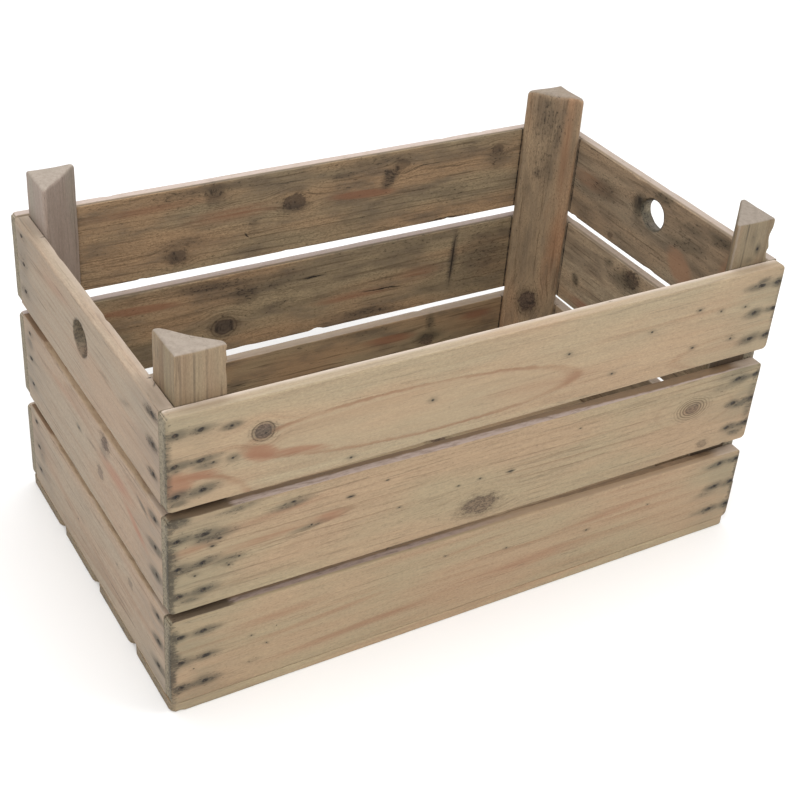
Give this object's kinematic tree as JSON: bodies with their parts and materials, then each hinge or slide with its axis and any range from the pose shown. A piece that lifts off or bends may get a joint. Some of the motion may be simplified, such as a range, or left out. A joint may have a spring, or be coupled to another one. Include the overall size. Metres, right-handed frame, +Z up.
{
  "type": "wooden apple crate",
  "caption": "Open-topped slatted apple crate of reclaimed pine boards nailed to triangular corner posts that stand above the rim for stacking, with a round hand hole in each end.",
  "frame": {"origin": "on the ground under the middle of the crate", "axes": "+X along the crate's length to its right end, +Y to its back, +Z up"},
  "size_m": [0.6, 0.357, 0.342],
  "materials": {
    "board_wood": "weathered, sanded",
    "end_board_wood": "weathered, sanded",
    "post_wood": "weathered, rough sawn",
    "slat_wood": "weathered, sanded",
    "nail_steel": "rusty"
  },
  "bodies": {
    "root": {"front_board_bottom": "board_wood", "front_board_middle": "board_wood", "front_board_top": "board_wood", "back_board_bottom": "board_wood", "back_board_middle": "board_wood", "back_board_top": "board_wood", "left_end_board_bottom": "end_board_wood", "left_end_board_middle": "end_board_wood", "left_end_board_top": "end_board_wood", "right_end_board_bottom": "end_board_wood", "right_end_board_middle": "end_board_wood", "right_end_board_top": "end_board_wood", "front_left_post": "post_wood", "front_right_post": "post_wood", "back_left_post": "post_wood", "back_right_post": "post_wood", "bottom_slat_1": "slat_wood", "bottom_slat_2": "slat_wood", "bottom_slat_3": "slat_wood", "bottom_slat_4": "slat_wood", "front_boards_left_nails": "nail_steel", "front_boards_right_nails": "nail_steel", "back_boards_left_nails": "nail_steel", "back_boards_right_nails": "nail_steel", "left_end_boards_left_nails": "nail_steel", "left_end_boards_right_nails": "nail_steel", "right_end_boards_left_nails": "nail_steel", "right_end_boards_right_nails": "nail_steel", "slat_left_nails": "nail_steel", "slat_right_nails": "nail_steel", "slat_front_nails": "nail_steel", "slat_back_nails": "nail_steel"}
  },
  "joints": []
}
